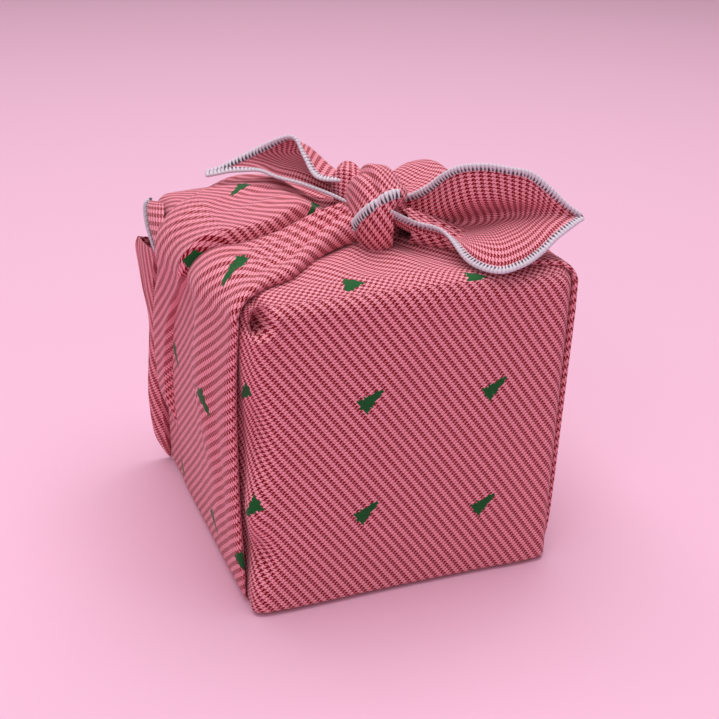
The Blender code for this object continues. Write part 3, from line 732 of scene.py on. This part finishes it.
# ---- Knot ------------------------------------------------------------------------------
# A square knot pulled tight: one plump loop, with a second layer that crosses it low in
# front. That layer ends in a hem, which runs slantwise up the loop.
REAR_LOBE, REAR_LOBE_RADII = np.array([-3.2, -7.0, 138.5]), np.array([5.6, 9.0, 9.2])
HEM_FACING, HEM_SHARE = np.array([0.26, -0.60, -0.76]), 0.02
LAYER, WAIST, LOWER_RIGHT_IN, FOLD_HIGH, STUB_IN = 1.5, 2.4, 4.6, 0.3, 1.6
LOBE_AHEAD = np.array([-0.33, -0.85, 0.40])
POLE_HOLE = 0.02


def knot_swell(x, y, z):
    """Radial height of the knot's folds, for points on the unit ball."""
    past_hem = HEM_FACING[0] * x + HEM_FACING[1] * y + HEM_FACING[2] * z - HEM_SHARE
    crossing = LAYER / (1 + np.exp(-22 * past_hem))
    crease = WAIST * bell(x - 0.62 - 0.25 * z, 0.16) * ease(0.35 - z, -0.1, 0.1)
    lower_right = ease(0.95 * x - 0.57 * y - 0.54, 0, 0.22) * ease(0.42 - z, 0, 0.3) * ease(-y, 0, 0.3)
    folds = FOLD_HIGH * np.sin(9 * x + 4 * z) * ease(-past_hem, 0.0, 0.3)
    stub = STUB_IN * bell(x + 0.52 - 0.1 * z, 0.13) * ease(z, 0.25, 0.6)
    return crossing - crease - LOWER_RIGHT_IN * lower_right + folds - stub


def rear_lobe_swell(x, y, z):
    """The same for the small lobe behind the knot."""
    return 0.4 * np.sin(7 * x + 5 * y)


def lobe(centre, radii, swell, rows, columns, yarn_turn):
    """Adds a lobe of the knot: a ball with radii along X, Y and Z, and the height of its folds."""
    polar, around = np.meshgrid(
        np.linspace(POLE_HOLE, math.pi - POLE_HOLE, rows),
        np.linspace(0, 2 * math.pi, columns),
        indexing="ij",
    )
    # The poles lie front and back along Y, where the cloth is hidden or turns smoothly.
    x, y, z = np.sin(polar) * np.cos(around), -np.cos(polar), np.sin(polar) * np.sin(around)
    unit = np.stack([x, y, z], axis=-1)
    points = centre + unit * (radii + swell(x, y, z)[..., None])
    # The cloth is drawn round the ball from the middle of its visible side.
    ahead = LOBE_AHEAD / np.linalg.norm(LOBE_AHEAD)
    sideways = np.cross((0, 0, 1), -ahead)
    sideways /= np.linalg.norm(sideways)
    upward = np.cross(ahead, sideways)
    away = np.arccos(np.clip(unit @ ahead, -1, 1))
    heading = np.arctan2(unit @ upward, unit @ sideways) - math.radians(yarn_turn)
    thread = (radii.mean() * away)[..., None] * np.stack([np.cos(heading), np.sin(heading)], axis=-1)
    cloth.grid(points[::-1], thread[::-1])


lobe(KNOT, KNOT_RADII, knot_swell, rows=90, columns=140, yarn_turn=48)
lobe(REAR_LOBE, REAR_LOBE_RADII, rear_lobe_swell, rows=40, columns=60, yarn_turn=-10)

# ---- Ears ------------------------------------------------------------------------------
# The two free ends of the knot, each a cupped corner of the cloth with a hem along both
# sides. Each row of a table is a section from one hem to the other, from the knot to the tip.
RIGHT_EAR = [
    [(7, -20, 139), (8, -19, 135.5), (8, -22, 133.5), (6, -32, 130), (0.5, -39.8, 138.6)],
    [(15, -19, 137), (16, -19, 129), (16, -24, 125), (14, -33, 126), (11, -37.5, 132.8)],
    [(20, -25, 141.5), (21.5, -25.5, 131.5), (24.5, -27.5, 125), (21.5, -41.5, 127.5),
     (19, -43.5, 130.5)],
    [(24, -31.5, 148), (26, -33.5, 136), (32, -30.5, 127), (25.5, -53.5, 128), (22, -59, 123.5)],
    [(28.5, -37.5, 152), (31, -39.5, 139.5), (38.5, -34, 129.5), (33, -58, 129), (29, -68.5, 122)],
    [(36, -42, 153), (38, -43, 140.5), (44.5, -38, 132), (40, -59, 130), (38.5, -69, 123.5)],
    [(43.5, -45.5, 152), (46, -46, 140.5), (50.5, -43, 133.5), (48, -58, 131), (47, -66, 126)],
    [(50.5, -48, 150.5), (53, -49, 140.5), (56, -48, 134.5), (54.5, -57.5, 133), (54, -63.5, 130)],
    [(57.3, -50.7, 145.1), (58.6, -51.4, 139.6), (60.7, -51.9, 135.4), (60.1, -58, 134.2),
     (60.1, -61.3, 132.4)],
    [(62.8, -54.4, 139.3), (63.9, -54.2, 137), (64.8, -54.7, 135.2), (64.8, -56.8, 134.5),
     (64.8, -59, 133.7)],
    [(67.4, -56.6, 135.9), (67.9, -56.5, 135.3), (68.3, -56.3, 134.8), (68.1, -56.9, 134.5),
     (67.9, -57.5, 134.3)],
]
LEFT_EAR = [
    [(-4, -19, 134), (-3, -12, 133.5), (-2, -6.5, 136), (-3, -7, 141), (-5, -12, 142)],
    [(-11, -10, 137), (-9, -2.4, 135.2), (-6.5, 3.6, 139), (-7.5, 4, 145), (-14.5, -4, 142)],
    [(-19, 0, 139), (-17, 8, 138), (-13, 14, 143), (-12.5, 12, 150), (-17, 4, 148)],
    [(-26, 7.5, 140), (-25, 15, 139.5), (-20.5, 19, 144), (-17.5, 16.5, 150.5), (-18.5, 11, 154)],
    [(-31, 13, 141.5), (-30, 17.6, 141), (-27.4, 20.4, 143.4), (-25, 19.6, 148), (-23.5, 16, 152.5)],
    [(-35.5, 18, 140.5), (-34.6, 20, 141.2), (-33.2, 21.4, 142.8), (-31.6, 22.1, 145.2),
     (-30, 22, 148)],
    [(-41, 21, 139.7), (-40.2, 22.2, 140.6), (-39.2, 23.2, 141.7), (-38, 23.9, 143),
     (-36.6, 24.3, 144.4)],
    [(-46, 23, 138.5), (-45.5, 23.9, 139.1), (-44.9, 24.6, 139.7), (-44.3, 25.2, 140.3),
     (-43.6, 25.6, 140.9)],
    [(-49.4, 23.6, 138), (-49.2, 24.3, 138.4), (-49, 25, 138.8), (-48.8, 25.7, 139.2),
     (-48.6, 26.4, 139.6)],
]
EAR_STATIONS, EAR_ACROSS = 90, 56
EAR_VALLEY, EAR_CUPPED = (0.36, 0.64), (12, 40)  # shares of the width, millimetres from the tip


def ear(table, coarse_hem):
    """Adds an ear to the cloth and returns its grid of points.

    Its yarns follow the hems: near a hem one set runs along it, and the valley hides the
    cloth between. coarse_hem is the hem, 0 or 1, that the coarser repeat runs along.
    """
    rails = np.stack([smooth_curve([row[k] for row in table], EAR_STATIONS) for k in range(5)])
    points = np.swapaxes(smooth_curve(rails, EAR_ACROSS), 0, 1)
    steps = np.linalg.norm(np.diff(points, axis=0), axis=-1)
    from_tip = np.cumsum(np.concatenate([np.zeros((1, EAR_ACROSS)), steps[::-1]]), axis=0)[::-1]
    steps = np.linalg.norm(np.diff(points, axis=1), axis=-1)
    across = np.cumsum(np.concatenate([np.zeros((EAR_STATIONS, 1)), steps], axis=1), axis=1)
    width = across[:, -1:]
    share = across / width
    along_one = np.broadcast_to(from_tip[:, :1], across.shape)
    along_other = np.broadcast_to(from_tip[:, -1:], across.shape)
    by_one = np.stack([along_one, across], axis=-1)
    by_other = np.stack([width - across, along_other], axis=-1)
    middle = ease(share, *EAR_VALLEY)[..., None]
    by_hem = (1 - middle) * by_one + middle * by_other
    by_tip = np.stack([along_one * (1 - share), along_other * share], axis=-1)
    cupped = ease(along_one[:, :1], *EAR_CUPPED)[..., None]
    thread = by_tip * (1 - cupped) + by_hem * cupped
    cloth.grid(points, thread[..., ::-1] if coarse_hem else thread)
    return points


right_ear = ear(RIGHT_EAR, 0)
left_ear = ear(LEFT_EAR, 1)

# The panels, ties, folds, knot and ears are one piece of cotton.
wrap_cloth = cloth.build("wrap_cloth", cotton)
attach(wrap_cloth, "root")
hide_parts("furoshiki_wrap")

# ---- Overlocked hem --------------------------------------------------------------------
# Pale cotton thread that wraps the raw edge all round, stitch beside stitch, over darker
# threads that show as fine ticks between the stitches. A loop's points lie inward from the
# edge and outward from the cloth.
HEM_WIDTH, STITCH_PITCH = 3.0, 1.45
STITCH_LOOP = [
    (3.0, 0.20), (2.6, 0.45), (1.9, 0.6), (1.0, 0.65), (0.2, 0.5), (-0.2, 0.0),
    (0.2, -0.5), (1.0, -0.65), (1.9, -0.6), (2.6, -0.45), (3.0, -0.20),
]
UNDER_LOOP = [
    (2.7, 0.2), (2.0, 0.45), (0.8, 0.48), (0.0, 0.0), (0.8, -0.48), (2.0, -0.45), (2.7, -0.2),
]
STITCH_HALF, STITCH_END, STITCH_THICK, STITCH_SIDES, STITCH_POINTS = 0.80, 0.34, 0.22, 6, 15
STITCH_SLANTS = 0.35, 0.5  # they lean by turns
EAR_HEM_SIZE, CORNER_HEM_SIZE, KNOT_HEM_SIZE = 0.84, 1.1, 1.12


def thread_material(name, grain, dark, light, roughness, sheen):
    """The material of a thread whose colour varies a little along its fibres."""
    material, shader, source = new_material(name)
    fuzz = Socket(source.tree, source.node("ShaderNodeTexNoise", Scale=grain, Detail=2.0).outputs[0])
    source.tree.links.new(fuzz.mix(dark, light).output, shader.inputs["Base Color"])
    shader.inputs["Roughness"].default_value = roughness
    shader.inputs["Sheen Weight"].default_value = sheen
    return material


PALE, PALEST = (0.56, 0.48, 0.57, 1), (0.80, 0.74, 0.82, 1)
DARKEST, DARK = (0.02, 0.03, 0.035, 1), (0.14, 0.12, 0.14, 1)
stitch_thread = thread_material("overlock_thread", 1400.0, PALE, PALEST, 0.75, 0.2)
under_thread = thread_material("overlock_under_thread", 900.0, DARKEST, DARK, 0.85, 0.0)


def unit_length(vectors):
    """The vectors' directions."""
    return vectors / np.maximum(np.linalg.norm(vectors, axis=-1, keepdims=True), 1e-9)


def tube_faces(start, rows, columns):
    """Faces of a closed tube of rings of points, with a cap at either end."""
    at = start + np.arange(rows * columns).reshape(rows, columns)
    following = np.roll(at, -1, axis=1)
    walls = np.stack([at[:-1], following[:-1], following[1:], at[1:]], axis=-1).reshape(-1, 4)
    return [*walls.tolist(), at[0][::-1].tolist(), at[-1].tolist()]


def thread_piece(name, points, faces, material):
    """One piece of the hem, from points in millimetres."""
    mesh = bpy.data.meshes.new(name)
    mesh.from_pydata((points * MM).tolist(), [], faces)
    edit = bmesh.new()
    edit.from_mesh(mesh)
    bmesh.ops.recalc_face_normals(edit, faces=edit.faces)
    edit.to_mesh(mesh)
    edit.free()
    mesh.shade_smooth()
    mesh.materials.append(material)
    piece = bpy.data.objects.new(name, mesh)
    bpy.context.scene.collection.objects.link(piece)
    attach(piece, "root")
    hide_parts("furoshiki_wrap")
    return piece


def hem(name, edge, inward, outward, size):
    """Stitches and under thread along an edge. The arrays hold a point and directions each."""
    run = np.concatenate([[0], np.cumsum(np.linalg.norm(np.diff(edge, axis=0), axis=1))])
    tangent = unit_length(np.gradient(edge, axis=0))
    inward = unit_length(inward - (inward * tangent).sum(axis=1, keepdims=True) * tangent)
    square = np.cross(inward, tangent)
    outward = unit_length(square * np.sign((square * outward).sum(axis=1, keepdims=True)))

    loop = smooth_curve(STITCH_LOOP, STITCH_POINTS)
    narrowing = ease(loop[:, 0] / HEM_WIDTH, 0.25, 0.75)
    half_wide = (STITCH_HALF + (STITCH_END - STITCH_HALF) * narrowing)[:, None, None]
    loop = loop * size
    bend = np.gradient(loop, axis=0)
    turns = np.linspace(0, 2 * math.pi, STITCH_SIDES, endpoint=False)[None, :, None]
    count = int(run[-1] / STITCH_PITCH)
    points, faces = [], []
    for number in range(count):
        place = (number + 0.5) * run[-1] / count
        at, along, into, out = (
            np.array([np.interp(place, run, values[:, k]) for k in range(3)])
            for values in (edge, tangent, inward, outward)
        )
        lean = STITCH_SLANTS[number % 2] * loop[:, :1] / HEM_WIDTH
        route = at + into * loop[:, :1] + out * loop[:, 1:] + along * lean
        normals = unit_length(into * -bend[:, 1:] + out * bend[:, :1])
        rings = (
            route[:, None]
            + along * (half_wide * np.cos(turns))
            + normals[:, None] * (STITCH_THICK * np.sin(turns))
        )
        points.append(rings.reshape(-1, 3))
        faces += tube_faces(number * STITCH_POINTS * STITCH_SIDES, STITCH_POINTS, STITCH_SIDES)
    stitches = thread_piece(f"{name}_stitches", np.concatenate(points), faces, stitch_thread)

    under = np.array(UNDER_LOOP) * size
    rings = edge[:, None] + inward[:, None] * under[None, :, :1] + outward[:, None] * under[None, :, 1:]
    faces = tube_faces(0, len(edge), len(under))
    return [stitches, thread_piece(f"{name}_edge", rings.reshape(-1, 3), faces, under_thread)]


def grid_hem(name, grid, column, inner, size=EAR_HEM_SIZE):
    """The hem along a side column of a grid. inner is a column further in."""
    edge, next_in = grid[:, column], grid[:, inner]
    inward = next_in - edge
    outward = np.cross(inward, np.gradient(edge, axis=0))
    return hem(name, edge, inward, outward, size)


hems = [
    *grid_hem("right_ear_upper_hem", right_ear, 0, 4),
    *grid_hem("right_ear_lower_hem", right_ear, -1, -5),
    *grid_hem("left_ear_lower_hem", left_ear, 0, 4),
    *grid_hem("left_ear_upper_hem", left_ear, -1, -5),
    *grid_hem("corner_turn_hem", corner_turn, 0, 3, CORNER_HEM_SIZE),
]

# The hem of the layer that crosses the knot, as directions on a unit ball.
KNOT_HEM = [
    (0.25, -0.78, 0.58),
    (0.00, -0.81, 0.58),
    (-0.23, -0.81, 0.53),
    (-0.46, -0.78, 0.43),
    (-0.64, -0.70, 0.32),
    (-0.81, -0.56, 0.16),
    (-0.92, -0.40, -0.02),
    (-0.95, -0.23, -0.22),
    (-0.91, -0.10, -0.41),
    (-0.82, -0.06, -0.58),
]
KNOT_HEM_STATIONS, KNOT_HEM_LIFT = 60, 0.5
on_ball = unit_length(smooth_curve(KNOT_HEM, KNOT_HEM_STATIONS))
knot_edge = KNOT + on_ball * (KNOT_RADII + knot_swell(*on_ball.T)[:, None] + KNOT_HEM_LIFT)
into_layer = np.broadcast_to(HEM_FACING * KNOT_RADII, on_ball.shape)
hems += hem("knot_hem", knot_edge, into_layer, on_ball, KNOT_HEM_SIZE)
